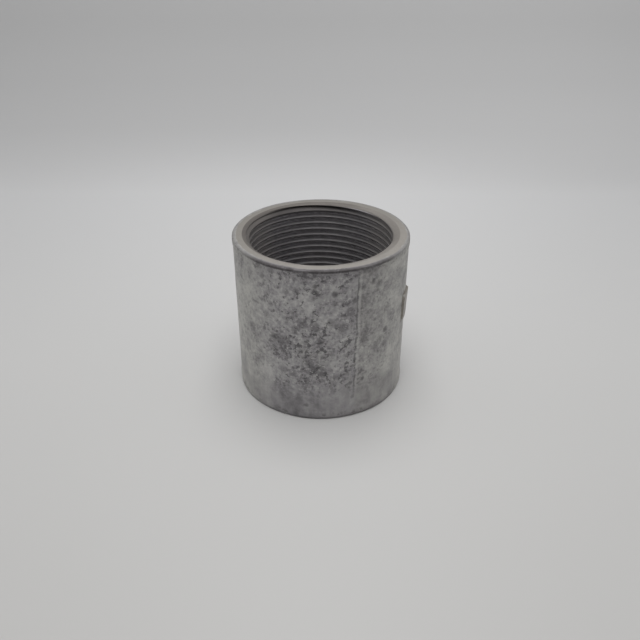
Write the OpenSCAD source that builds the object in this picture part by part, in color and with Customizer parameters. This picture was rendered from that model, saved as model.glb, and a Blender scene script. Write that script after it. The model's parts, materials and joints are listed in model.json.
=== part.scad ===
// Threaded conduit coupling, trade size 1-1/2: a short steel sleeve with a straight
// right-hand pipe thread all the way through, a swollen rim at each end, the line of its
// lengthwise weld and one raised blank pad.
// Millimetres. The origin is on the axis, on the lower end face, and +Z runs up the bore.
// Directions about the axis are counted from +X towards +Y.

/* [Sleeve] */
// Outside diameter of the wall
outer_d = 54.74; // [46:0.01:64]
// Thickness of the wall over the crests of the thread
wall = 5.04; // [4.4:0.01:6]
// Length from one end face to the other
length = 52.39; // [46:0.01:60]

/* [Rims] */
// How far each rim stands out from the wall
rim_rise = 0.25; // [0.05:0.05:0.5]
// Depth of the fullest part of a rim below its end face
rim_crest = 1.6; // [1.5:0.1:2.2]
// Depth at which a rim has run out into the wall
rim_height = 3.4; // [2.8:0.1:6]
// Width of the rounded outer edge of each end face, across the end face
edge_w = 1.2; // [0.4:0.1:1.8]
// Depth of that rounding along the axis
edge_h = 0.5; // [0.2:0.1:1.4]
// How far the chamfer at each mouth cuts into the end face
mouth_chamfer = 2.17; // [1.4:0.01:2.6]
// Depth of that chamfer along the axis
mouth_depth = 0.8; // [0.5:0.1:1.4]

/* [Thread] */
// Threads in one inch
threads_per_inch = 11.5; // [10:0.5:14]
// Flat on each crest as a share of the pitch
crest_share = 0.25; // [0.2:0.01:0.35]
// Flat in each root as a share of the pitch
root_share = 0.125; // [0.08:0.005:0.2]
// Angle between the two flanks of a groove, in degrees
flank_angle = 60; // [55:1:60]
// Angle at which the groove starts, in degrees about the axis
thread_start = 45; // [0:5:355]

/* [Pad] */
// Width of the pad across the wall
pad_w = 7.6; // [5:0.1:16]
// Height of the pad along the axis
pad_h = 10; // [6:0.1:16]
// Height of the pad's middle above the lower end face
pad_z = 30.3; // [22:0.1:34]
// Direction of the pad about the axis, in degrees
pad_angle = -14; // [-30:0.5:30]
// How far the pad's upper edge stands out from the wall
pad_upper_rise = 0.8; // [0.4:0.05:1.5]
// How far the pad's lower edge stands out from the wall
pad_lower_rise = 0.5; // [0.3:0.05:1.5]
// Radius of the pad's corners
pad_corner_r = 1.5; // [0.5:0.1:3]

/* [Weld line] */
// Direction of the weld line about the axis, in degrees
weld_angle = -67.5; // [-80:0.5:-40]
// Width of the shallow groove along the weld
weld_w = 0.5; // [0.2:0.05:1]
// Depth of the shallow groove along the weld
weld_depth = 0.2; // [0.05:0.05:0.4]

/* [Hidden] */

outer_r = outer_d / 2;
bore_r = outer_r - wall;
mouth_r = bore_r + mouth_chamfer;
rim_steps = 5;
edge_steps = 6;
round_fn = 96;
corner_fn = 32;
cut_over = 1;
pad_root = 1;

pitch = 25.4 / threads_per_inch;
flank_slope = tan(flank_angle / 2);
groove_depth = (1 - crest_share - root_share) * pitch / 2 / flank_slope;
groove_inside = 0.35;
groove_in_r = bore_r - groove_inside;
root_r = bore_r + groove_depth;
root_half = root_share * pitch / 2;
mouth_half = (1 - crest_share) * pitch / 2 + groove_inside * flank_slope;
segments = 28;
over_turns = 1;
groove_steps = ceil((length / pitch + 2 * over_turns) * segments);

function smooth(t) = t * t * (3 - 2 * t);
function reversed(list) = [for (i = [len(list) - 1 : -1 : 0]) list[i]];

// Points from the wall out over one rim to its end face, each as radius and depth
function rim_points() = concat(
    [for (i = [0 : rim_steps]) let (t = i / rim_steps)
        [outer_r + rim_rise * smooth(t), rim_height + (rim_crest - rim_height) * t]],
    [for (i = [0 : edge_steps]) let (a = 90 * i / edge_steps)
        [outer_r + rim_rise - edge_w * (1 - cos(a)), edge_h * (1 - sin(a))]]);

module sleeve_blank() {
    upper = [for (p = rim_points()) [p[0], length - p[1]]];
    rotate_extrude($fn = round_fn)
        polygon(concat([[0, 0]], reversed(rim_points()), upper, [[0, length]]));
}

// A band that leans out from the lower to the upper rise, trimmed to the pad's outline
module pad() {
    low = pad_z - pad_h / 2;
    high = pad_z + pad_h / 2;
    rotate([0, 0, pad_angle])
        intersection() {
            rotate_extrude($fn = round_fn)
                polygon([[outer_r - pad_root, low], [outer_r + pad_lower_rise, low],
                         [outer_r + pad_upper_rise, high], [outer_r - pad_root, high]]);
            translate([0, 0, pad_z])
                rotate([90, 0, 90])
                    linear_extrude(outer_r + pad_upper_rise + cut_over)
                        rounded_rectangle(pad_w, pad_h, pad_corner_r);
        }
}

module rounded_rectangle(w, h, r) {
    square([w - 2 * r, h], center = true);
    square([w, h - 2 * r], center = true);
    for (x = [-1, 1], y = [-1, 1])
        translate([x * (w / 2 - r), y * (h / 2 - r)])
            circle(r = r, $fn = corner_fn);
}

module weld_line() {
    rotate([0, 0, weld_angle])
        translate([outer_r, 0, rim_height])
            linear_extrude(length - 2 * rim_height)
                polygon([[-weld_depth, 0], [cut_over, -weld_w * (1 + cut_over / weld_depth) / 2],
                         [cut_over, weld_w * (1 + cut_over / weld_depth) / 2]]);
}

// The clear bore over the crests, with a chamfer at each mouth
module bore() {
    translate([0, 0, -cut_over])
        cylinder(r = bore_r, h = length + 2 * cut_over, $fn = round_fn);
    mouth_slope = mouth_chamfer / mouth_depth;
    for (face = [0, 1])
        translate([0, 0, face * length])
            mirror([0, 0, face])
                translate([0, 0, -cut_over])
                    cylinder(r1 = mouth_r + cut_over * mouth_slope, r2 = bore_r,
                             h = mouth_depth + cut_over, $fn = round_fn);
}

// One corner of the groove's section, at a step along the helix
function groove_point(step, r, dz) =
    let (a = 360 * step / segments + thread_start)
    [r * cos(a), r * sin(a), pitch * (step / segments - over_turns) + dz];

// The groove between the crests: one section swept up a right-hand helix, past both ends
module thread_groove() {
    points = [for (i = [0 : groove_steps])
        each [groove_point(i, groove_in_r, -mouth_half), groove_point(i, root_r, -root_half),
              groove_point(i, root_r, root_half), groove_point(i, groove_in_r, mouth_half)]];
    sides = [for (i = [0 : groove_steps - 1], k = [0 : 3])
        let (a = 4 * i + k, b = 4 * i + (k + 1) % 4)
        each [[a, b + 4, a + 4], [a, b, b + 4]]];
    end = 4 * groove_steps;
    polyhedron(points = points,
               faces = concat([[3, 2, 1, 0]], sides, [[end, end + 1, end + 2, end + 3]]));
}

module coupling() {
    color("#8b8b88")
        difference() {
            union() {
                sleeve_blank();
                pad();
            }
            bore();
            weld_line();
            thread_groove();
        }
}

coupling();
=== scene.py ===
"""Threaded conduit coupling of galvanised steel, standing on its end on a pale sweep.

One piece of steel, so one piece here: the sleeve's outside is a ring of profile rows, and the
helical thread inside it is a Geometry Nodes tree. Both meet at the two mouths and are welded
there into one closed skin. Everything is in metres, in the frame of the solid model.
"""

import json
import math

import bmesh
import bpy
from bpy.props import FloatProperty, FloatVectorProperty, IntProperty, PointerProperty
from mathutils import Matrix, Vector, noise


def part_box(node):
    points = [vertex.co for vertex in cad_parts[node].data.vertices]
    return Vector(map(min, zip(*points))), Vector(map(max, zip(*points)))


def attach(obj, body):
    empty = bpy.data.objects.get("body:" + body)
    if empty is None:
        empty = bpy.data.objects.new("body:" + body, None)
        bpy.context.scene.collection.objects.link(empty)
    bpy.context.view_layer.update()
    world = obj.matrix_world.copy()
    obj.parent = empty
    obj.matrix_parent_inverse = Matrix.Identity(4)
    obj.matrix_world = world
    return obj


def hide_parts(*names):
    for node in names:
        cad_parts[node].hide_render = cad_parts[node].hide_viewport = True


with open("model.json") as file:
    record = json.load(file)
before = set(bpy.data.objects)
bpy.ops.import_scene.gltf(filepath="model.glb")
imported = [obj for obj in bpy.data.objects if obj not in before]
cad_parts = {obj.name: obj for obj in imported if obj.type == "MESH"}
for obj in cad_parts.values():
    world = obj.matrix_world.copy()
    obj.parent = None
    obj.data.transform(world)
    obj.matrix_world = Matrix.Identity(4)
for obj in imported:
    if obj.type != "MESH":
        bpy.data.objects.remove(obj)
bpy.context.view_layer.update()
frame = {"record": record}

bl_info = {
    "name": "Conduit Coupling",
    "version": (1, 0, 0),
    "blender": (4, 5, 0),
    "location": "View3D > Sidebar > Coupling",
    "description": "Builds a galvanised threaded conduit coupling and the sweep it stands on",
    "category": "Object",
}

NODE = "coupling"
SLOT = "galvanised_steel"
PIECE = "galvanised_sleeve"
MM = 0.001
TAU = 2 * math.pi
BOX_LOW, BOX_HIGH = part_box(NODE)
BORE_R = next(m["dims"]["r_mm"] for m in frame["record"]["mounts"] if m["name"] == "upper_mouth")
INCH = 0.0254
# Width of the photograph, and of the picture that is rendered, in pixels.
PICTURE_WIDTH = 640
# Largest radius of a stain that keeps its round shape, in mm.
SMALL_STAIN = 1.25
# Share of the length at which the leaning weld line is at its stated direction.
WELD_PIVOT = 0.69

# Stains on the wall: direction about the axis in degrees, height and radius in mm, strength.
DARK_STAINS = (
    (-93.5, 47.5, 0.9, 0.8), (-93.5, 45.6, 1.1, 1.0), (-94, 43.6, 0.9, 0.6), (-90.5, 44.8, 3.2, 0.3),
    (-81.5, 44.8, 1.2, 1.0), (-84, 35.5, 1.4, 1.0), (-80.5, 34.4, 1.0, 0.6), (-77, 33.2, 1.8, 1.0),
    (-101.5, 34.8, 1.7, 0.9), (-105.5, 32.8, 1.3, 0.7), (-94, 34, 1.6, 0.5), (-115, 28, 2.0, 1.0),
    (-120.5, 28, 1.6, 0.8), (-111.5, 29, 1.2, 0.6), (-121, 24.5, 1.4, 0.5), (-111.5, 35.8, 1.3, 0.5),
    (-126, 35.5, 1.1, 0.5), (-122, 39.5, 1.0, 0.6), (-141.5, 28.5, 0.8, 0.6), (-111, 44.8, 1.1, 0.6),
    (-105, 45.5, 1.1, 0.7), (-75, 42, 1.4, 0.7), (-71.5, 38.8, 1.5, 0.8), (-69, 42, 1.0, 0.8),
    (-98, 22.5, 2.2, 0.8), (-93.5, 19.8, 1.6, 0.8), (-88.5, 17.5, 1.6, 0.8), (-90.5, 20.8, 4.0, 0.3),
    (-114.5, 17.5, 1.4, 0.7), (-108.5, 16.8, 1.3, 0.7), (-80.5, 16, 1.3, 0.8), (-84, 24.2, 1.2, 0.5),
    (-70.5, 13, 0.9, 0.8), (-69, 7.5, 0.9, 0.6), (-62, 13.5, 0.9, 0.8), (-44.5, 28.5, 1.0, 1.0),
    (-52.5, 24.2, 1.6, 0.5), (-49.5, 26, 1.2, 0.4), (-61.5, 30, 1.4, 0.4), (-46.5, 50.2, 1.6, 0.5),
    (-57, 46.8, 1.0, 0.9), (-52, 45.5, 1.2, 0.8), (-53, 43.5, 0.8, 0.8), (-64, 46, 1.1, 0.7),
    (-99.5, 51, 0.7, 0.8), (-93.5, 50.8, 0.6, 0.8), (-131, 50.6, 1.3, 0.6), (-120.5, 50.6, 1.2, 0.6),
    (-128, 47.8, 1.1, 0.5), (-69, 11.2, 5.0, 0.25), (-99.5, 5.2, 0.8, 0.7), (-46, 10, 4.0, 0.25),
    (40, 36, 3.0, 0.5), (75, 20, 3.5, 0.6), (118, 31, 2.6, 0.6), (160, 14, 3.2, 0.5), (178, 40, 2.4, 0.6))
LIGHT_STAINS = (
    (-105, 28, 3.4, 0.8), (-101, 24.5, 2.6, 0.6), (-120, 20.8, 2.6, 0.5), (-117, 17, 3.6, 0.8),
    (-75.5, 37.5, 1.6, 0.6), (-86, 31, 1.8, 0.4), (-143, 30, 6.0, 0.5), (-88, 42, 1.8, 0.4),
    (-44, 38.5, 6.0, 0.8), (-128, 33, 3.5, 0.4), (-100, 41, 2.2, 0.4), (-82, 28, 2.0, 0.4),
    (60, 30, 5.0, 0.6), (100, 12, 4.0, 0.6), (140, 38, 4.5, 0.6), (-165, 22, 4.0, 0.5))


def in_metres(name, description, size):
    """A length whose default is given in metres."""
    return FloatProperty(name=name, description=description, default=size, unit="LENGTH")


def in_mm(name, description, size):
    """A length whose default is given in millimetres."""
    return in_metres(name, description, size * MM)


def in_radians(name, description, angle):
    """An angle whose default is given in radians."""
    return FloatProperty(name=name, description=description, default=angle, subtype="ANGLE")


def in_degrees(name, description, angle):
    """An angle whose default is given in degrees."""
    return in_radians(name, description, math.radians(angle))


def share(name, description, part):
    """A share, as a number from 0 to 1."""
    return FloatProperty(name=name, description=description, default=part, subtype="FACTOR")


def colour(name, description, tone):
    """A colour whose default is given as linear red, green and blue."""
    return FloatVectorProperty(name=name, description=description, default=tone, subtype="COLOR")


class SleeveSizes(bpy.types.PropertyGroup):
    """Sizes of the sleeve's outside."""

    length: in_metres("Length", "From end face to end face", BOX_HIGH.z - BOX_LOW.z)
    rim_radius: in_metres("Rim radius", "Radius at the fullest part of a rim", BOX_HIGH.y)
    rim_rise: in_mm("Rim rise", "How far a rim stands out from the wall", 0.25)
    rim_crest: in_mm("Rim crest", "Depth of the fullest part of a rim below its end face", 1.6)
    rim_height: in_mm("Rim height", "Depth at which a rim has run out into the wall", 3.4)
    edge_width: in_mm("Edge width", "Width of the rounded outer edge across each end face", 1.2)
    edge_depth: in_mm("Edge depth", "Depth of that rounding along the axis", 0.5)
    pad_rise: in_mm("Pad rise", "How far the pad's upper edge stands out from the wall", 0.8)
    pad_angle: in_degrees("Pad angle", "Direction of the pad about the axis", -14)
    pad_width: in_mm("Pad width", "Width of the blank pad across the wall", 7.6)
    pad_height: in_mm("Pad height", "Height of the blank pad", 9.4)
    pad_middle: in_mm("Pad middle", "Height of the pad's middle above the lower end face", 30.6)
    pad_lean: in_mm("Pad lean", "How much less the pad's lower edge stands out", 0.3)
    pad_corner: in_mm("Pad corner", "Radius of the pad's corners", 1.5)
    weld_angle: in_degrees("Weld angle", "Direction of the weld line about the axis", -67.5)
    weld_lean: in_degrees("Weld lean", "How far the weld line leans to the right as it goes up", 1.1)
    weld_width: in_mm("Weld width", "Width of the shallow groove along the weld", 0.7)
    weld_depth: in_mm("Weld depth", "Depth of that groove", 0.10)
    relief: in_mm("Relief", "Height of the lumps in the zinc coat", 0.045)
    wear: in_mm("Wear", "Unevenness of the rounded edges of the end faces", 0.14)
    columns: IntProperty(
        name="Columns", description="Columns round the outside, an even number",
        default=360, min=120, max=480)


class ThreadSizes(bpy.types.PropertyGroup):
    """Sizes of the internal thread and of the chamfered mouths."""

    bore_radius: in_mm("Bore radius", "Radius over the crests of the thread", BORE_R)
    turns_per_inch: FloatProperty(
        name="Threads per inch", description="Number of thread turns in one inch", default=11.5)
    depth: in_mm("Thread depth", "Depth of the groove below the crests", 1.19)
    crest_share: share("Crest share", "Flat on each crest as a share of the pitch", 0.25)
    root_share: share("Root share", "Flat in each root as a share of the pitch", 0.125)
    round_share: share("Round share", "Width of each worn corner as a share of the pitch", 0.11)
    start: in_degrees("Thread start", "Direction in which the groove leaves the lower end face", 45)
    mouth_radius: in_mm("Mouth radius", "Radius of the chamfer where it meets the end face", 24.5)
    mouth_depth: in_mm("Mouth depth", "Depth of the chamfer along the axis", 0.8)
    columns: IntProperty(
        name="Columns", description="Columns round the bore, half of those outside",
        default=180, min=60, max=240)


class ZincLook(bpy.types.PropertyGroup):
    """Colours and grain of the galvanised coat."""

    coat: colour("Coat", "Usual tone of the zinc coat", (0.352, 0.340, 0.348))
    coat_light: colour("Light patches", "Tone of the lighter, smoother patches", (0.560, 0.552, 0.540))
    # Also used as painted shade on the rounded outer edges of the end faces.
    coat_dark: colour("Dark patches", "Tone of the darker patches", (0.215, 0.207, 0.213))
    stain: colour("Stains", "Tone of the dark stains and of the pits", (0.110, 0.104, 0.109))
    dirt: colour("Dirt", "Tone of the dirt along the weld and in the thread", (0.100, 0.094, 0.096))
    pad: colour("Pad", "Slightly brown tone of the raised pad", (0.415, 0.392, 0.350))
    # Painted shade and dirt along the pad's edges.
    pad_edge_shade_and_dirt: colour("Pad edge", "Brown tone of the dirt along the pad's edges", (0.180, 0.152, 0.115))
    # Painted shade and dirt under the lip of each rim.
    lip: colour("Lip", "Tone of the dirt under the lip of each rim", (0.080, 0.073, 0.075))
    # Lit tone of the end faces: painted light, strongest towards the front right.
    face: colour(
        "End face", "Tone of the machined end faces where they are cleanest", (0.365, 0.343, 0.318))
    # Painted shade of the end faces away from the front right, together with their real dull patches.
    face_shaded_and_dull: colour("Dull end face", "Tone of the end faces where they are dull", (0.300, 0.284, 0.260))
    # Lit tone of the chamfers, where painted light falls at the front right and on the right.
    chamfer: colour("Chamfer", "Brownish tone of the chamfered mouths", (0.330, 0.308, 0.285))
    # Painted shade: the chamfers' tone away from the lit front right and right side.
    chamfer_shaded: colour(
        "Dull chamfer", "Tone of the chamfered mouths where they are dull", (0.160, 0.147, 0.136))
    crest: colour("Thread crest", "Tone of the crests of the bare steel thread", (0.095, 0.090, 0.092))
    # Painted highlight on the upper half of each crest.
    crest_lit: colour(
        "Worn crest", "Tone of the upper half of each crest, where it is worn", (0.196, 0.188, 0.192))
    # Painted shade on the thread's up-facing lower flanks.
    flank: colour(
        "Lower flank", "Tone of the thread's lower flanks, where dust and oil lie", (0.138, 0.132, 0.137))
    # Painted light on the roots and down-facing upper flanks of the thread.
    root: colour("Thread root", "Tone of the roots and upper flanks of the thread", (0.560, 0.538, 0.562))
    # Painted shade on the first turn of the thread at each mouth.
    first_turn_shade: colour(
        "First turn", "Tone of the oily first turn of the thread at each mouth", (0.085, 0.078, 0.076))
    stain_ragged: in_mm("Stain raggedness", "How far noise moves the outlines of the large stains", 2.8)
    spot_ragged: in_mm("Spot raggedness", "How far noise moves the outlines of spots and pits", 1.2)
    streak_share: share("Streak share", "Width of the streaks as a share of their length", 0.22)
    bump_depth: in_mm("Bump depth", "Height of the grain that only the shading shows", 0.12)


class SweepLook(bpy.types.PropertyGroup):
    """The pale sweep behind the coupling, its light and the camera."""

    # The sweep's tones paint light and shade: darker in front, lighter just before it rises, darker at the
    # bend.
    floor_near: colour("Near floor", "Colour of the sweep in front", (0.526, 0.521, 0.511))
    floor: colour("Floor", "Colour of the sweep round the coupling", (0.600, 0.597, 0.591))
    floor_far: colour("Far floor", "Colour of the sweep just before it rises", (0.642, 0.643, 0.647))
    bend_tone: colour("Bend tone", "Colour of the sweep where it bends up", (0.553, 0.553, 0.556))
    backdrop: colour("Backdrop", "Colour of the risen part of the sweep", (0.584, 0.584, 0.586))
    # Painted shade towards the sides of the sweep and towards the left of the risen part.
    painted_side_shade: share("Side fall-off", "How much darker the sweep is towards both sides", 0.10)
    painted_back_shade: share("Back fall-off", "How much darker the risen part is towards the left", 0.10)
    bend: in_metres("Bend", "Distance behind the axis at which the sweep starts to rise", 0.17)
    camera_back: in_metres("Camera distance", "Distance of the camera in front of the axis", 0.1873)
    camera_up: in_metres("Camera height", "Height of the camera above the floor", 0.1338)
    camera_dip: in_degrees("Camera dip", "How far the camera looks down", 31.3)
    focal_px: FloatProperty(
        name="Focal length", description="Focal length in pixels of the picture", default=652.3)
    camera_pan: in_radians("Camera pan", "How far the camera turns to its left", 0.0012)
    camera_roll: in_radians(
        "Camera roll", "How far the camera is turned about its own line of sight", 0.0023)
    lamp_up: in_metres("Lamp height", "Height of the soft overhead lamp", 0.6)
    lamp_power: FloatProperty(
        name="Lamp power", description="Power of that lamp in watts", default=2.2)
    world_front: FloatProperty(
        name="Light from the front", description="Strength of the light from the camera's side",
        default=0.2)
    world_back: FloatProperty(
        name="Light from the back", description="Strength of the light from above and behind",
        default=0.62)


class Wire:
    """A value on a socket of a node tree, with Math nodes behind its operators."""

    def __init__(self, tree, socket):
        self.tree = tree
        self.socket = socket

    def _math(self, operation, a, b=None):
        return self.tree.node("Math", {"operation": operation}, [a] if b is None else [a, b])

    def __add__(self, other):
        return self._math("ADD", self, other)

    def __radd__(self, other):
        return self._math("ADD", other, self)

    def __sub__(self, other):
        return self._math("SUBTRACT", self, other)

    def __rsub__(self, other):
        return self._math("SUBTRACT", other, self)

    def __mul__(self, other):
        return self._math("MULTIPLY", self, other)

    def __rmul__(self, other):
        return self._math("MULTIPLY", other, self)

    def __truediv__(self, other):
        return self._math("DIVIDE", self, other)

    def __rtruediv__(self, other):
        return self._math("DIVIDE", other, self)

    def __pow__(self, other):
        return self._math("POWER", self, other)

    def __abs__(self):
        return self._math("ABSOLUTE", self)

    def most(self, other):
        return self._math("MAXIMUM", self, other)

    def least(self, other):
        return self._math("MINIMUM", self, other)


class Tree:
    """A shader or geometry node tree that is written as expressions."""

    def __init__(self, nodes, links, prefix):
        self.nodes = nodes
        self.links = links
        self.prefix = prefix

    def node(self, kind, settings=None, inputs=(), output=0):
        """Adds one node. The settings come first, then inputs by number or by name."""
        name = kind if kind.startswith(("Geometry", "Shader", "Function", "Node")) else self.prefix + kind
        made = self.nodes.new(name)
        for key, value in (settings or {}).items():
            if key == "stops":
                self._stops(made.color_ramp, value)
            else:
                setattr(made, key, value)
        pairs = inputs.items() if isinstance(inputs, dict) else enumerate(inputs)
        for key, value in pairs:
            if isinstance(value, Wire):
                self.links.new(value.socket, made.inputs[key])
            else:
                made.inputs[key].default_value = value
        return Wire(self, made.outputs[output]) if len(made.outputs) else made

    @staticmethod
    def _stops(ramp, stops):
        while len(ramp.elements) < len(stops):
            ramp.elements.new(1)
        for element, (place, colour) in zip(ramp.elements, stops):
            element.position = place
            element.color = (*colour, 1)

    def other(self, wire, output):
        """Another output of the node that a wire comes from."""
        return Wire(self, wire.socket.node.outputs[output])


class Shade(Tree):
    """The node tree of one material, with the patterns that a metal surface needs."""

    # Places of a colour Mix node's factor and two colours among its inputs, and of its result.
    MIX_FACTOR, MIX_A, MIX_B, MIX_RESULT = 0, 6, 7, 2
    # Radii at which a stain starts to fade in and is full, as shares of its stated radius.
    STAIN_OUTER, STAIN_INNER = 1.35, 0.35

    def __init__(self, name):
        self.material = bpy.data.materials.new(name)
        self.material.use_nodes = True
        tree = self.material.node_tree
        tree.nodes.clear()
        super().__init__(tree.nodes, tree.links, "ShaderNode")
        coordinates = self.node("TexCoord")
        self.place = self.other(coordinates, "Object")

    def noise(self, scale, detail=3.0, roughness=0.5, place=None, distortion=0.0):
        """Soft noise from 0 to 1; scale is the number of lumps in a metre."""
        return self.node("TexNoise", {}, {
            "Vector": place or self.place, "Scale": scale, "Detail": detail,
            "Roughness": roughness, "Distortion": distortion}, "Fac")

    def step(self, value, low, high, to_low=0.0, to_high=1.0):
        """A smooth step from to_low at low to to_high at high."""
        return self.node("MapRange", {"interpolation_type": "SMOOTHSTEP"}, {
            "Value": value, "From Min": low, "From Max": high,
            "To Min": to_low, "To Max": to_high}, "Result")

    def blend(self, factor, a, b, how="MIX"):
        """Mixes two colours."""
        a, b = (value if isinstance(value, Wire) else (*value, 1) for value in (a, b))
        return self.node("Mix", {"data_type": "RGBA", "blend_type": how}, {
            self.MIX_FACTOR: factor, self.MIX_A: a, self.MIX_B: b}, self.MIX_RESULT)

    def near(self, spots, ragged, radius):
        """The strongest of several soft round stains on a wall of the given radius."""
        total = 0.0
        for degrees, height, size, strength in spots:
            turn = math.radians(degrees)
            middle = (radius * math.cos(turn), radius * math.sin(turn), height * MM)
            far = self.node("VectorMath", {"operation": "DISTANCE"}, [ragged, middle], "Value")
            outer, inner = self.STAIN_OUTER * size * MM, self.STAIN_INNER * size * MM
            stain = self.step(far, outer, inner, 0.0, strength)
            total = stain.most(total)
        return total

    def ramp(self, value, *stops):
        """A colour that runs through the given places and colours."""
        return self.node("ValToRGB", {"stops": stops}, {"Fac": value})

    def surface(self, **sockets):
        """Ends the tree in a Principled shader with the given sockets."""
        shader = self.node("BsdfPrincipled", {}, {
            key.replace("_", " "): value for key, value in sockets.items()})
        self.node("OutputMaterial", {}, {"Surface": shader})
        return self.material


class Zinc:
    """The sleeve's material: weathered zinc outside, machined ends and dark bare threads.

    Each painting method lays one region over the colour that it is given.
    """

    # Lumps in a metre of each noise, from wide clouds to the finest grain.
    CLOUDS, WANDERS, BLOTCHES, PATCHES, MOTTLES = 45, 130, 150, 240, 430
    RAGS, PITS, SPECKLES, GRAINS = 620, 820, 1050, 2300
    # Colour that the smoother sides of the wall are multiplied by.
    SIDE_TINT = (0.996, 1.0, 0.970)

    def __init__(self, look, sleeve, thread):
        self.look, self.sleeve, self.thread = look, sleeve, thread
        s = self.s = Shade(SLOT)
        axes = s.node("SeparateXYZ", {}, [s.place])
        self.x, self.y, self.z = axes, s.other(axes, "Y"), s.other(axes, "Z")
        self.radius = (self.x * self.x + self.y * self.y) ** 0.5
        self.below_top = sleeve.length - self.z
        self.to_end = self.below_top.least(self.z)

        self.cloud = s.noise(self.CLOUDS, 2.0, 0.5)
        self.blotch = s.noise(self.BLOTCHES, 3.0, 0.55, distortion=0.3)
        self.mottle = s.noise(self.MOTTLES, 3.0, 0.6)
        self.speckle = s.noise(self.SPECKLES, 2.0, 0.6)
        self.grain = s.noise(self.GRAINS, 2.0, 0.5)
        stray = s.node("TexNoise", {}, {
            "Vector": s.place, "Scale": self.RAGS, "Detail": 3.0, "Roughness": 0.65}, "Color")
        self.stray = s.node("VectorMath", {"operation": "SUBTRACT"}, [stray, (0.5, 0.5, 0.5)])
        self.ragged = self.moved(look.stain_ragged)
        self.torn = self.moved(look.spot_ragged)

        self.across, ahead = self.seen_from(sleeve.weld_angle)
        self.facing = s.step(ahead, 0.0, 5 * MM)
        self.above_base = s.step(self.z, 5 * MM, 17 * MM)
        # Towards the front right: where painted light falls on the end faces and chamfers.
        self.toward = s.step(0.35 * self.x - self.y, -12 * MM, 25 * MM)
        self.in_front = s.step(self.y, -12 * MM, -24 * MM, 0.15, 1.0)
        self.wavy = 0.9 * MM * (self.blotch - 0.5) + 0.5 * MM * (self.mottle - 0.5)
        self.worn = self.worn_parts()
        self.pits = self.pit_strength()
        mouth = thread.mouth_radius
        self.in_mouth = s.step(self.radius, mouth + 0.05 * MM, mouth - 0.12 * MM)
        self.in_thread = s.step(self.to_end - 0.45 * MM * self.toward, 0.42 * MM, 0.75 * MM) * self.in_mouth

    def moved(self, reach):
        """The place, moved by noise, which makes an outline ragged."""
        return self.s.node("VectorMath", {"operation": "MULTIPLY_ADD"}, [
            self.stray, (reach,) * 3, self.s.place])

    def seen_from(self, angle):
        """How far a point lies across and ahead, for someone who looks at the axis from an angle."""
        cos, sin = math.cos(angle), math.sin(angle)
        return self.y * cos - self.x * sin, self.x * cos + self.y * sin

    def worn_parts(self):
        """The rougher zinc: left of the weld above the base, and in some clouds of the back."""
        s = self.s
        front = s.step(self.across, -27.5 * MM, -18 * MM) * s.step(self.across, 3 * MM, -1 * MM)
        back = s.step(self.cloud, 0.55, 0.70) * (1 - self.facing)
        return (front * self.facing * self.above_base + back).least(1.0)

    def pit_strength(self):
        """Small pits everywhere, and wider ones where the coat is worn."""
        s = self.s
        patch = s.noise(self.PATCHES, 2.0, 0.55, place=self.torn)
        small = s.noise(self.PITS, 2.0, 0.6, place=self.torn)
        pits = s.step(small + 0.5 * (patch - 0.5), 0.57, 0.68)
        wide = s.step(patch + 0.6 * (self.mottle - 0.5), 0.60, 0.70)
        return (pits * (0.10 + 0.20 * self.above_base + 0.47 * self.worn)).most(
            wide * (0.10 + 0.25 * self.worn))

    def wall(self):
        """The coat's ground tone: patches, mottling and streaks up and down, with painted light that makes
        the left and right sides paler.
        """
        s, look = self.s, self.look
        tall = s.node("VectorMath", {"operation": "MULTIPLY"}, [
            s.place, (1.0, 1.0, look.streak_share)])
        streak = s.noise(self.RAGS, 2.0, 0.5, place=tall)
        fine = 0.55 * (self.mottle - 0.5) + 0.5 * (self.speckle - 0.5) + 0.12 * (self.grain - 0.5)
        broad = 0.45 * (self.cloud - 0.5) + 0.60 * (self.blotch - 0.5)
        upper = s.step(self.z, 10 * MM, 32 * MM)
        # Painted light: the tone rises towards the left and right sides of the wall, as if more light fell
        # there.
        left = 0.28 * s.step(self.x, -15 * MM, -26 * MM)
        right = (0.10 + 0.12 * upper) * s.step(self.x, 12 * MM, 25 * MM)
        tone = 0.51 + broad * (1.45 - 0.30 * self.worn) + left + right
        tone = tone + fine * (0.36 + 0.90 * self.above_base + 0.50 * self.worn)
        tone = tone + 0.02 * self.above_base + 0.02 * self.worn
        tone = tone + 0.24 * (streak - 0.5) * (1 - self.worn)
        tone = tone + 0.10 * s.near(LIGHT_STAINS, self.ragged, self.sleeve.rim_radius)
        tone = tone - 0.05 * s.step(self.below_top, 9 * MM, 4 * MM) * self.facing
        coat = s.ramp(tone, (0.08, look.stain), (0.30, look.coat_dark), (0.5, look.coat),
                      (0.90, look.coat_light))
        sides = s.step(self.x, -12 * MM, -23 * MM).most(s.step(self.across, -0.3 * MM, 0.9 * MM))
        return s.blend(sides, coat, self.SIDE_TINT, "MULTIPLY")

    def paint_stains(self, coat):
        """The placed stains, the pits and the bright flecks."""
        s, look, around = self.s, self.look, self.sleeve.rim_radius
        large = s.near([spot for spot in DARK_STAINS if spot[2] > SMALL_STAIN], self.ragged, around)
        small = s.near([spot for spot in DARK_STAINS if spot[2] <= SMALL_STAIN], self.torn, around)
        dots = s.step(0.5 * self.speckle + 0.5 * self.mottle, 0.44, 0.60)
        stains = (large * (0.34 + 0.60 * dots)).most(small * (0.72 + 0.22 * dots))
        coat = s.blend(stains, coat, look.stain)
        coat = s.blend(self.pits, coat, look.stain)
        flecks = s.step(self.speckle + 0.4 * (self.grain - 0.5), 0.60, 0.72)
        flecks = flecks * (0.08 + 0.22 * self.above_base + 0.42 * self.worn)
        return s.blend(flecks, coat, look.coat_light)

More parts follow.
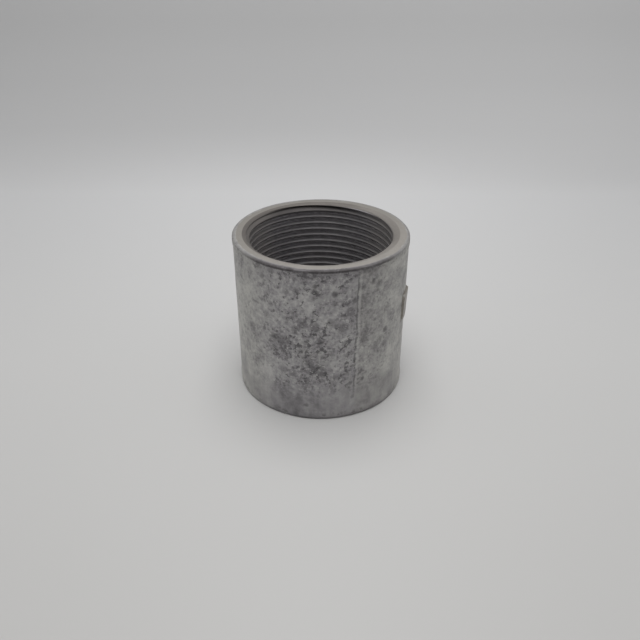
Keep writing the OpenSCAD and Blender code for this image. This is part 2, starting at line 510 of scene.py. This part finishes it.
    def paint_pad(self, coat):
        """The raised pad, slightly brown, with painted shade and dirt in a dark line along its edges."""
        s, look, sleeve = self.s, self.look, self.sleeve
        across, ahead = self.seen_from(sleeve.pad_angle)
        facing = s.step(ahead, 18 * MM, 22 * MM)
        side = abs(across) - sleeve.pad_width / 2
        up = abs(self.z - sleeve.pad_middle) - sleeve.pad_height / 2
        edge = side.most(up) + 0.5 * MM * (self.mottle - 0.5)
        on_pad = s.step(edge, 0.1 * MM, -0.3 * MM) * facing
        # Painted shade and dirt in a line along the foot of the pad's edges.
        line = s.step(abs(edge - 0.05 * MM), 0.35 * MM, 0.10 * MM) * facing
        coat = s.blend(on_pad * 0.45, coat, look.pad)
        return s.blend(line * 0.60, coat, look.pad_edge_shade_and_dirt)

    def paint_weld(self, coat):
        """The leaning weld line, dark, with a paler strip on its right and pits on its left."""
        s, look, sleeve = self.s, self.look, self.sleeve
        leaning = self.across - math.tan(sleeve.weld_lean) * (self.z - sleeve.length * WELD_PIVOT)
        wander = s.noise(self.WANDERS, 1.0, 0.5)
        off = leaning + 1.2 * MM * (wander - 0.5) + 0.6 * MM * (self.mottle - 0.5)
        fade = s.step(self.z, 6 * MM, 16 * MM) * s.step(self.below_top, 1.2 * MM, 2.6 * MM) * self.facing
        dark = s.step(abs(off), 0.42 * MM, 0.10 * MM) * (0.15 + 0.50 * s.step(self.blotch, 0.38, 0.58))
        light = s.step(abs(off - 0.75 * MM), 0.5 * MM, 0.1 * MM)
        spots = s.step(abs(off + 1.2 * MM), 1.3 * MM, 0.5 * MM)
        spots = spots * s.step(0.6 * self.mottle + 0.4 * self.speckle, 0.52, 0.62)
        coat = s.blend(light * fade * 0.35, coat, look.coat_light)
        coat = s.blend(spots * fade * 0.55, coat, look.dirt)
        return s.blend(dark * fade, coat, look.dirt)

    def paint_ends(self, coat):
        """The machined end faces, duller in patches, with painted light that makes them lighter towards the
        front right, and painted shade on their rounded outer edges.
        """
        s, look, rim = self.s, self.look, self.sleeve.rim_radius
        # Painted shade: the rounded outer edge of each end face is darkened, more in front.
        shaded_edge = s.step(self.radius, rim - 1.5 * MM, rim - 1.0 * MM)
        shaded_edge = shaded_edge * s.step(self.to_end, 0.60 * MM, 0.35 * MM)
        coat = s.blend(shaded_edge * (0.42 + 0.23 * self.in_front), coat, look.coat_dark)
        dulled = s.step(0.5 * self.mottle + 0.5 * self.blotch, 0.42, 0.62) * 0.35
        # Painted light and shade: the lit face tone towards the front right, the shaded tone elsewhere; the
        # noise adds real dull patches.
        tone = s.blend(self.toward * (1 - dulled), look.face_shaded_and_dull, look.face)
        edge = rim - (1.30 - 0.22 * self.toward) * MM
        flat = s.step(self.radius + 1.3 * self.wavy - edge, 0.2 * MM, -0.2 * MM)
        return s.blend(flat * s.step(self.to_end, 0.5 * MM, 0.3 * MM), coat, tone)

    def paint_lip_shade_and_dirt(self, coat):
        """Painted shade and dirt in a dark line under the lip of each rim, strongest in front and at the
        top, and dirty spots just below it.
        """
        s, rim = self.s, self.sleeve.rim_radius
        outside = s.step(self.radius, rim - 1.1 * MM, rim - 0.4 * MM)
        strength = self.in_front * s.step(self.z, 10 * MM, 40 * MM, 0.4, 1.0)
        # Painted shade and dirt: the ragged dark line where the lip's overhang shades the wall.
        line = s.step(abs(self.to_end + 0.5 * self.wavy - 0.32 * MM), 0.88 * MM, 0.42 * MM)
        line = line * (0.55 + 0.41 * s.step(0.5 * self.blotch + 0.5 * self.mottle, 0.38, 0.55)) * strength
        spots = s.step(self.to_end, 0.8 * MM, 1.2 * MM)
        spots = spots * s.step(self.to_end + self.wavy, 3.0 * MM, 1.5 * MM)
        spots = spots * s.step(0.6 * self.mottle + 0.4 * self.speckle, 0.49, 0.60)
        return s.blend(line.most(spots * 0.5) * outside, coat, self.look.lip)

    def paint_mouths(self, coat):
        """The chamfered mouths, with painted light towards the front right and on the right side and
        painted shade elsewhere, and the thread inside them.
        """
        s, look = self.s, self.look
        # Painted light on the chamfer, brightest at the front right and on the right side.
        bright = (self.toward * self.toward).most(0.55 * s.step(self.x, 8 * MM, 18 * MM))
        coat = s.blend(self.in_mouth, coat, s.blend(bright, look.chamfer_shaded, look.chamfer))
        return s.blend(self.in_thread, coat, self.bare_thread())

    def bare_thread(self):
        """Bare steel with painted light and shade that follow the thread: a highlight on each crest's upper
        half, shade on the up-facing lower flanks, light on roots and down-facing upper flanks.
        """
        s, look, thread = self.s, self.look, self.thread
        angle = s.node("Math", {"operation": "ARCTAN2"}, [self.y, self.x])
        turns = self.z * (thread.turns_per_inch / INCH) + (thread.start - angle) / TAU + 0.5
        above_crest = s.node("Math", {"operation": "FRACT"}, [turns])
        # Painted light and shade round each turn: a highlight on the upper crest, shade on the lower flank,
        # light on the root and upper flank.
        bare = s.ramp(above_crest, (0.02, look.crest_lit), (0.11, look.crest_lit), (0.17, look.flank),
                      (0.30, look.flank), (0.42, look.root), (0.84, look.root), (0.95, look.crest))
        # Painted shade: the first turn of the thread at each mouth is darkened, most on the left.
        shaded_first_turn = s.step(self.to_end, 3.6 * MM, 1.6 * MM) * s.step(self.x, 16 * MM, 5 * MM, 0.38, 1.0)
        bare = s.blend(shaded_first_turn, bare, look.first_turn_shade)
        bare = s.blend(s.step(self.mottle, 0.35, 0.65) * 0.2, bare, look.dirt)
        return s.blend(s.step(abs(self.x), 13 * MM, 21 * MM) * 0.35, bare, look.chamfer)

    def material(self):
        """The finished material."""
        coat = self.wall()
        for paint in (self.paint_stains, self.paint_pad, self.paint_weld, self.paint_ends,
                      self.paint_lip_shade_and_dirt, self.paint_mouths):
            coat = paint(coat)
        roughness = 0.46 + 0.16 * self.mottle + 0.10 * self.speckle + 0.12 * self.pits
        height = 0.5 * self.mottle + 0.25 * self.blotch + 0.4 * self.speckle + 0.2 * self.grain
        height = (height - 0.5 * self.pits) * (1 - 0.75 * self.in_thread)
        bump = self.s.node("Bump", {}, {
            "Strength": 0.5, "Distance": self.look.bump_depth, "Height": height})
        return self.s.surface(Base_Color=coat, Metallic=0.6, Roughness=roughness, Normal=bump)


# Inputs of the thread's node tree, in the order of its sockets.
THREAD_INPUTS = (
    ("Bore radius", "NodeSocketFloat"),
    ("Depth", "NodeSocketFloat"),
    ("Pitch", "NodeSocketFloat"),
    ("Length", "NodeSocketFloat"),
    ("Mouth radius", "NodeSocketFloat"),
    ("Mouth depth", "NodeSocketFloat"),
    ("Crest share", "NodeSocketFloat"),
    ("Root share", "NodeSocketFloat"),
    ("Round share", "NodeSocketFloat"),
    ("Start", "NodeSocketFloat"),
    ("Columns", "NodeSocketInt"),
)
# Rows of the grid in one turn: both ends of each worn corner of crest and root.
ROWS_PER_TURN = 8
# Turns that are wound past the two ends together, to be cut off there.
SPARE_TURNS = 3
# Points nearer than this are merged: in the wound thread, and where it meets the outer skin.
THREAD_MERGE, SKIN_MERGE = 0.002 * MM, 0.004 * MM
# Edges that bend by more than this are shaded as sharp.
SHARP_BEND = math.radians(32)


def thread_tree(material):
    """A node tree that winds the thread's groove round the bore, from mouth to mouth."""
    group = bpy.data.node_groups.new("helical_thread", "GeometryNodeTree")
    face = group.interface
    face.new_socket("Geometry", in_out="INPUT", socket_type="NodeSocketGeometry")
    for name, kind in THREAD_INPUTS:
        face.new_socket(name, in_out="INPUT", socket_type=kind)
    face.new_socket("Geometry", in_out="OUTPUT", socket_type="NodeSocketGeometry")
    t = Tree(group.nodes, group.links, "ShaderNode")
    given = t.node("NodeGroupInput")
    value = {name: t.other(given, name) for name, _ in THREAD_INPUTS}

    pitch, length = value["Pitch"], value["Length"]
    crest, root, worn = value["Crest share"], value["Root share"], value["Round share"]
    turns = t.node("Math", {"operation": "CEIL"}, [length / pitch]) + SPARE_TURNS
    grid = t.node("GeometryNodeMeshGrid", {}, {
        "Size X": 1.0, "Size Y": 1.0, "Vertices X": value["Columns"] + 1,
        "Vertices Y": turns * ROWS_PER_TURN + 1}, "Mesh")
    spot = t.node("SeparateXYZ", {}, [t.node("GeometryNodeInputPosition")])
    angle = (spot + 0.5) * TAU
    turn = (t.other(spot, "Y") + 0.5) * turns
    whole = t.node("Math", {"operation": "FLOOR"}, [turn])
    row = (turn - whole) * ROWS_PER_TURN

    flank = (1 - crest - root) * 0.5
    steps = (worn, crest - worn, worn, flank - worn, worn, root - worn, worn, flank - worn)
    phase = (crest + worn) * -0.5
    for number, step in enumerate(steps):
        phase = phase + step * (row - number).most(0.0).least(1.0)
    from_crest = abs(t.node("Math", {"operation": "FRACT"}, [phase + 0.5]) - 0.5)
    sunk = (from_crest - crest * 0.5) / flank
    cut = value["Depth"] * sunk.most(0.0).least(1.0)

    raw_z = (whole + phase - SPARE_TURNS / 2 + (angle - value["Start"]) / TAU) * pitch
    high = raw_z.most(0.0).least(length)
    to_end = high.least(length - high)
    slope = (value["Mouth radius"] - value["Bore radius"]) / value["Mouth depth"]
    chamfer = value["Mouth radius"] - to_end * slope
    radius = (value["Bore radius"] + cut).most(chamfer)
    cos = t.node("Math", {"operation": "COSINE"}, [angle])
    sin = t.node("Math", {"operation": "SINE"}, [angle])
    place = t.node("CombineXYZ", {}, [radius * cos, radius * sin, high])
    wound = t.node("GeometryNodeSetPosition", {}, {"Geometry": grid, "Position": place})
    welded = t.node("GeometryNodeMergeByDistance", {}, {"Geometry": wound, "Distance": THREAD_MERGE})
    real = t.node("GeometryNodeRealizeInstances", {}, {"Geometry": welded})
    finished = t.node("GeometryNodeSetMaterial", {}, {"Geometry": real, "Material": material})
    t.node("NodeGroupOutput", {}, {"Geometry": finished})
    return group


def thread_mesh(sleeve, thread, material):
    """The thread as a plain mesh, open at the two mouths."""
    holder = bpy.data.objects.new("thread_holder", bpy.data.meshes.new("thread_holder"))
    bpy.context.scene.collection.objects.link(holder)
    modifier = holder.modifiers.new("thread", "NODES")
    modifier.node_group = thread_tree(material)
    given = {
        "Bore radius": thread.bore_radius, "Depth": thread.depth,
        "Pitch": INCH / thread.turns_per_inch, "Length": sleeve.length,
        "Mouth radius": thread.mouth_radius, "Mouth depth": thread.mouth_depth,
        "Crest share": thread.crest_share, "Root share": thread.root_share,
        "Round share": thread.round_share, "Start": thread.start, "Columns": thread.columns}
    for item in modifier.node_group.interface.items_tree:
        if item.in_out == "INPUT" and item.name in given:
            modifier[item.identifier] = given[item.name]
    depsgraph = bpy.context.evaluated_depsgraph_get()
    mesh = bpy.data.meshes.new_from_object(holder.evaluated_get(depsgraph))
    bpy.data.objects.remove(holder)
    return mesh


def smooth(t):
    """A step from 0 to 1 with level ends."""
    t = min(1.0, max(0.0, t))
    return t * t * (3 - 2 * t)


def gathered(value, targets, reach, squeeze):
    """Moves a coordinate towards the nearest target, so that rows crowd where the shape is fine."""
    for target in targets:
        off = value - target
        if abs(off) < reach:
            away = abs(off) / reach
            value = target + off * (squeeze + (1 - squeeze) * away * away)
    return value


class Outside:
    """The sleeve's outer skin as a radius for every angle and height."""

    WALL_ROWS = 100
    RIM_ROWS = 7
    EDGE_ROWS = 8
    FACE_ROWS = 4
    # Width over which the pad's rounded edge rises.
    PAD_EDGE = 0.45 * MM
    # Share of the pad's half width past which nothing of it is left.
    PAD_REACH = 1.3
    # Reach of the crowding round a target, in angle and in height, and the least spacing there.
    TURN_REACH, ROW_REACH, SQUEEZE = math.radians(5), 1.6 * MM, 0.3
    # Lumps in a metre of the worn edges, and of the broad and the fine lumps in the coat.
    WEAR_LUMPS, BROAD_LUMPS, FINE_LUMPS = 90, 120, 420
    # Parts of the relief that the broad and the fine lumps make up.
    BROAD_PART, FINE_PART = 0.9, 0.6
    # Width inside the wall's radius over which the lumps fade out on an end face.
    LUMPS_FADE = 1.2 * MM

    def __init__(self, sleeve, thread):
        self.sleeve = sleeve
        self.thread = thread
        self.wall = sleeve.rim_radius - sleeve.rim_rise
        self.pad_side = math.asin(sleeve.pad_width / 2 / self.wall)

    def angles(self):
        """Angles of the columns, crowded at the pad's sides and at the weld."""
        s = self.sleeve
        targets = (s.pad_angle - self.pad_side, s.pad_angle + self.pad_side, s.weld_angle)
        turned = []
        for i in range(s.columns):
            angle = TAU * i / s.columns
            if angle > math.pi:
                angle -= TAU
            turned.append(gathered(angle, targets, self.TURN_REACH, self.SQUEEZE))
        return turned

    def rows(self):
        """Rows from the lower mouth out, up the wall and in to the upper mouth."""
        s = self.sleeve
        corner = s.rim_radius - s.edge_width
        span = corner - self.thread.mouth_radius
        low = [(self.thread.mouth_radius + span * i / self.FACE_ROWS, 0.0) for i in range(self.FACE_ROWS)]
        for i in range(self.EDGE_ROWS + 1):
            a = math.pi / 2 * i / self.EDGE_ROWS
            low.append((corner + s.edge_width * math.sin(a), s.edge_depth * (1 - math.cos(a))))
        for i in range(1, self.RIM_ROWS + 1):
            low.append((None, s.edge_depth + (s.rim_height - s.edge_depth) * i / self.RIM_ROWS))
        wall = s.length - 2 * s.rim_height
        edges = (s.pad_middle - s.pad_height / 2, s.pad_middle + s.pad_height / 2)
        for i in range(1, self.WALL_ROWS):
            z = s.rim_height + wall * i / self.WALL_ROWS
            low.append((None, gathered(z, edges, self.ROW_REACH, self.SQUEEZE)))
        end_rows = self.FACE_ROWS + self.EDGE_ROWS + 1 + self.RIM_ROWS
        high = [(r, s.length - z) for r, z in reversed(low[:end_rows])]
        return low + high

    def rim(self, z):
        """How far the rims stand out at a height."""
        s = self.sleeve
        deep = min(z, s.length - z)
        return s.rim_rise * smooth((s.rim_height - deep) / (s.rim_height - s.rim_crest))

    def pad(self, angle, z):
        """How far the pad stands out at a point of the wall."""
        s = self.sleeve
        off = abs(angle - s.pad_angle)
        if off > self.pad_side * self.PAD_REACH:
            return 0.0
        side = math.sin(off) * self.wall - (s.pad_width / 2 - s.pad_corner)
        up = abs(z - s.pad_middle) - (s.pad_height / 2 - s.pad_corner)
        past = math.hypot(max(side, 0), max(up, 0)) + min(max(side, up), 0) - s.pad_corner
        rise = s.pad_rise - s.pad_lean * (0.5 - (z - s.pad_middle) / s.pad_height)
        return rise * smooth(0.5 - past / self.PAD_EDGE)

    def weld(self, angle, z):
        """Depth of the weld's groove at a point of the wall."""
        s = self.sleeve
        lean = math.tan(s.weld_lean) * (z - s.length * WELD_PIVOT)
        off = abs((angle - s.weld_angle) * self.wall - lean)
        fade = smooth(min(z, s.length - z) / s.rim_height - 0.2)
        return s.weld_depth * smooth(1 - 2 * off / s.weld_width) * fade

    def wear(self, point, radius, z):
        """How far the rounded edge of an end face is worn in."""
        s = self.sleeve
        deep = min(z, s.length - z)
        near = smooth(1 - deep / s.rim_height)
        near *= smooth((radius - self.thread.mouth_radius) / s.edge_width - 0.8)
        return near * s.wear * (0.5 + noise.noise(point * self.WEAR_LUMPS + Vector((2, 5, 9))))

    def lumps(self, point):
        """Lumps and runs in the zinc coat."""
        s = self.sleeve
        broad = noise.noise(point * self.BROAD_LUMPS)
        fine = noise.noise(point * self.FINE_LUMPS + Vector((7, 3, 1)))
        return s.relief * (self.BROAD_PART * broad + self.FINE_PART * fine)

    def point(self, angle, radius, z):
        """One vertex of the skin."""
        s = self.sleeve
        shaped = radius is None
        if shaped:
            radius = self.wall + self.rim(z) + self.pad(angle, z) - self.weld(angle, z)
        bare = Vector((radius * math.cos(angle), radius * math.sin(angle), z))
        full = 1.0 if shaped else smooth((radius - self.wall + self.LUMPS_FADE) / self.LUMPS_FADE)
        radius += self.lumps(bare) * full - self.wear(bare, radius, z)
        return Vector((radius * math.cos(angle), radius * math.sin(angle), z))


def add_outside(mesh_data, sleeve, thread):
    """Adds the outer skin to the thread's mesh and welds the two at the mouths."""
    outside = Outside(sleeve, thread)
    angles = outside.angles()
    count = len(angles)
    half = count // 2
    rows = outside.rows()
    mesh = bmesh.new()
    mesh.from_mesh(mesh_data)
    inner = []
    for _, z in (rows[0], rows[-1]):
        inner.append([mesh.verts.new((thread.mouth_radius * math.cos(TAU * i / half),
                                      thread.mouth_radius * math.sin(TAU * i / half), z))
                      for i in range(half)])
    rings = [[mesh.verts.new(outside.point(a, radius, z)) for a in angles] for radius, z in rows[1:-1]]
    for lower, upper in zip(rings, rings[1:]):
        for i in range(count):
            j = (i + 1) % count
            mesh.faces.new((lower[i], lower[j], upper[j], upper[i]))
    for i in range(half):
        j = (i + 1) % half
        a, b, c = 2 * i, 2 * i + 1, (2 * i + 2) % count
        mesh.faces.new((inner[0][i], inner[0][j], rings[0][c], rings[0][b], rings[0][a]))
        mesh.faces.new((inner[1][j], inner[1][i], rings[-1][a], rings[-1][b], rings[-1][c]))
    bmesh.ops.remove_doubles(mesh, verts=mesh.verts, dist=SKIN_MERGE)
    bmesh.ops.recalc_face_normals(mesh, faces=mesh.faces)
    for f in mesh.faces:
        f.smooth = True
    mesh.to_mesh(mesh_data)
    mesh.free()
    mesh_data.set_sharp_from_angle(angle=SHARP_BEND)


class COUPLING_OT_sleeve(bpy.types.Operator):
    """Build the galvanised sleeve with its helical thread"""

    bl_idname = "coupling.sleeve"
    bl_label = "Sleeve"

    def execute(self, context):
        scene = context.scene
        sleeve, thread = scene.coupling_sleeve, scene.coupling_thread
        material = Zinc(scene.coupling_zinc, sleeve, thread).material()
        mesh = thread_mesh(sleeve, thread, material)
        add_outside(mesh, sleeve, thread)
        mesh.materials.clear()
        mesh.materials.append(material)
        piece = bpy.data.objects.new(PIECE, mesh)
        scene.collection.objects.link(piece)
        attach(piece, "root")
        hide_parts(NODE)
        return {"FINISHED"}


def sweep_material(look):
    """Plain matt board, with painted shade that makes it a little darker towards the front, the sides and
    up the back.

    The side shade follows lines that fan out from a point in front of the axis.
    """
    s = Shade("pale_sweep")
    axes = s.node("SeparateXYZ", {}, [s.place])
    away = s.other(axes, "Y")
    front, back, meeting = -0.2, 0.3, -0.27
    # Painted light and shade along the sweep: darker in front, lighter just before it rises, darker at the
    # bend.
    tone = s.ramp(s.step(away, front, back), (0.0, look.floor_near), (0.36, look.floor),
                  (0.8, look.floor_far), (0.845, look.floor_far), (0.955, look.bend_tone),
                  (0.985, look.bend_tone), (1.0, look.backdrop))
    aside = s.step(abs(axes) / (away - meeting), 0.0, 0.45)
    risen = s.step(away, 0.19, 0.25)
    far = s.step(away, -0.05, 0.15, 0.6, 1.0)
    # Painted shade towards the sides and, on the risen part, towards the left.
    shade = aside * far * look.painted_side_shade * (1 - risen)
    shade = shade + s.step(axes, 0.2, -0.05) * risen * look.painted_back_shade
    return s.surface(Base_Color=s.blend(shade, tone, (0.0, 0.0, 0.0)), Roughness=0.75)


def sweep_mesh(look):
    """A level floor that bends up into a wall behind the coupling."""
    half_width, front, radius, rise = 1.2, -1.2, 0.12, 0.9
    slope, step = 70, 5
    profile = [(front, 0.0), (look.bend, 0.0)]
    profile += [(look.bend + radius * math.sin(a), radius * (1 - math.cos(a)))
                for a in (math.radians(turn) for turn in range(step, slope + 1, step))]
    end = math.radians(slope)
    profile.append((profile[-1][0] + rise * math.cos(end), profile[-1][1] + rise * math.sin(end)))
    mesh = bmesh.new()
    lines = [[mesh.verts.new((x, y, z)) for x in (-half_width, half_width)] for y, z in profile]
    for (a, b), (c, d) in zip(lines, lines[1:]):
        mesh.faces.new((a, b, d, c)).smooth = True
    data = bpy.data.meshes.new("sweep")
    mesh.to_mesh(data)
    mesh.free()
    return data


def add_light(name, size, power, place, aim=(0, 0, 0.026)):
    """A soft rectangular lamp that faces the coupling."""
    lamp = bpy.data.lights.new(name, "AREA")
    lamp.shape = "RECTANGLE"
    lamp.size, lamp.size_y = size
    lamp.energy = power
    holder = bpy.data.objects.new(name, lamp)
    holder.location = place
    holder.rotation_euler = (Vector(aim) - Vector(place)).to_track_quat("-Z", "Y").to_euler()
    bpy.context.scene.collection.objects.link(holder)


def add_world(scene, look):
    """Even pale light from all round, dimmer from the camera's side."""
    world = bpy.data.worlds.new("tent")
    world.use_nodes = True
    world.node_tree.nodes.clear()
    t = Tree(world.node_tree.nodes, world.node_tree.links, "ShaderNode")
    direction = t.node("SeparateXYZ", {}, [t.node("TexCoord", {}, [], "Generated")])
    ahead = t.other(direction, "Y")
    tone = t.node("MapRange", {}, {
        "Value": ahead, "From Min": -0.9, "From Max": 0.0,
        "To Min": look.world_front, "To Max": look.world_back}, "Result")
    lit = t.node("Background", {}, {"Color": (1, 1, 1, 1), "Strength": tone})
    t.node("OutputWorld", {}, {"Surface": lit})
    scene.world = world


def add_camera(scene, look):
    """The camera, placed where the photograph was taken from."""
    data = bpy.data.cameras.new("camera")
    data.sensor_width = 36
    data.lens = data.sensor_width * look.focal_px / PICTURE_WIDTH
    data.clip_start = 0.005
    camera = bpy.data.objects.new("camera", data)
    scene.collection.objects.link(camera)
    aim = Matrix.Rotation(math.pi / 2 - look.camera_dip, 4, "X")
    aim = aim @ Matrix.Rotation(look.camera_pan, 4, "Y") @ Matrix.Rotation(look.camera_roll, 4, "Z")
    camera.matrix_world = Matrix.Translation((0, -look.camera_back, look.camera_up)) @ aim
    scene.camera = camera


class COUPLING_OT_stage(bpy.types.Operator):
    """Build the pale sweep, the soft light and the camera"""

    bl_idname = "coupling.stage"
    bl_label = "Stage"

    def execute(self, context):
        scene = context.scene
        look = scene.coupling_sweep
        floor = bpy.data.objects.new("sweep", sweep_mesh(look))
        floor.data.materials.append(sweep_material(look))
        scene.collection.objects.link(floor)
        add_light("overhead", (0.3, 0.6), look.lamp_power, (0, -0.03, look.lamp_up))
        add_world(scene, look)
        add_camera(scene, look)
        scene.view_settings.view_transform = "Standard"
        return {"FINISHED"}


class COUPLING_PT_panel(bpy.types.Panel):
    """Lists the coupling's builders and its sizes"""

    bl_idname = "COUPLING_PT_panel"
    bl_label = "Conduit Coupling"
    bl_space_type = "VIEW_3D"
    bl_region_type = "UI"
    bl_category = "Coupling"

    def draw(self, context):
        for operator in OPERATORS:
            self.layout.operator(operator.bl_idname)
        for name in SETTINGS:
            group = getattr(context.scene, name)
            column = self.layout.column()
            for key in group.__annotations__:
                column.prop(group, key)


OPERATORS = (COUPLING_OT_sleeve, COUPLING_OT_stage)
SETTINGS = {
    "coupling_sleeve": SleeveSizes,
    "coupling_thread": ThreadSizes,
    "coupling_zinc": ZincLook,
    "coupling_sweep": SweepLook,
}
CLASSES = (*SETTINGS.values(), *OPERATORS, COUPLING_PT_panel)


def register():
    for cls in CLASSES:
        bpy.utils.register_class(cls)
    for name, group in SETTINGS.items():
        setattr(bpy.types.Scene, name, PointerProperty(type=group))


def unregister():
    for name in SETTINGS:
        delattr(bpy.types.Scene, name)
    for cls in reversed(CLASSES):
        bpy.utils.unregister_class(cls)


def main():
    """Builds everything."""
    register()
    bpy.ops.coupling.sleeve()
    bpy.ops.coupling.stage()


if __name__ == "__main__":
    main()
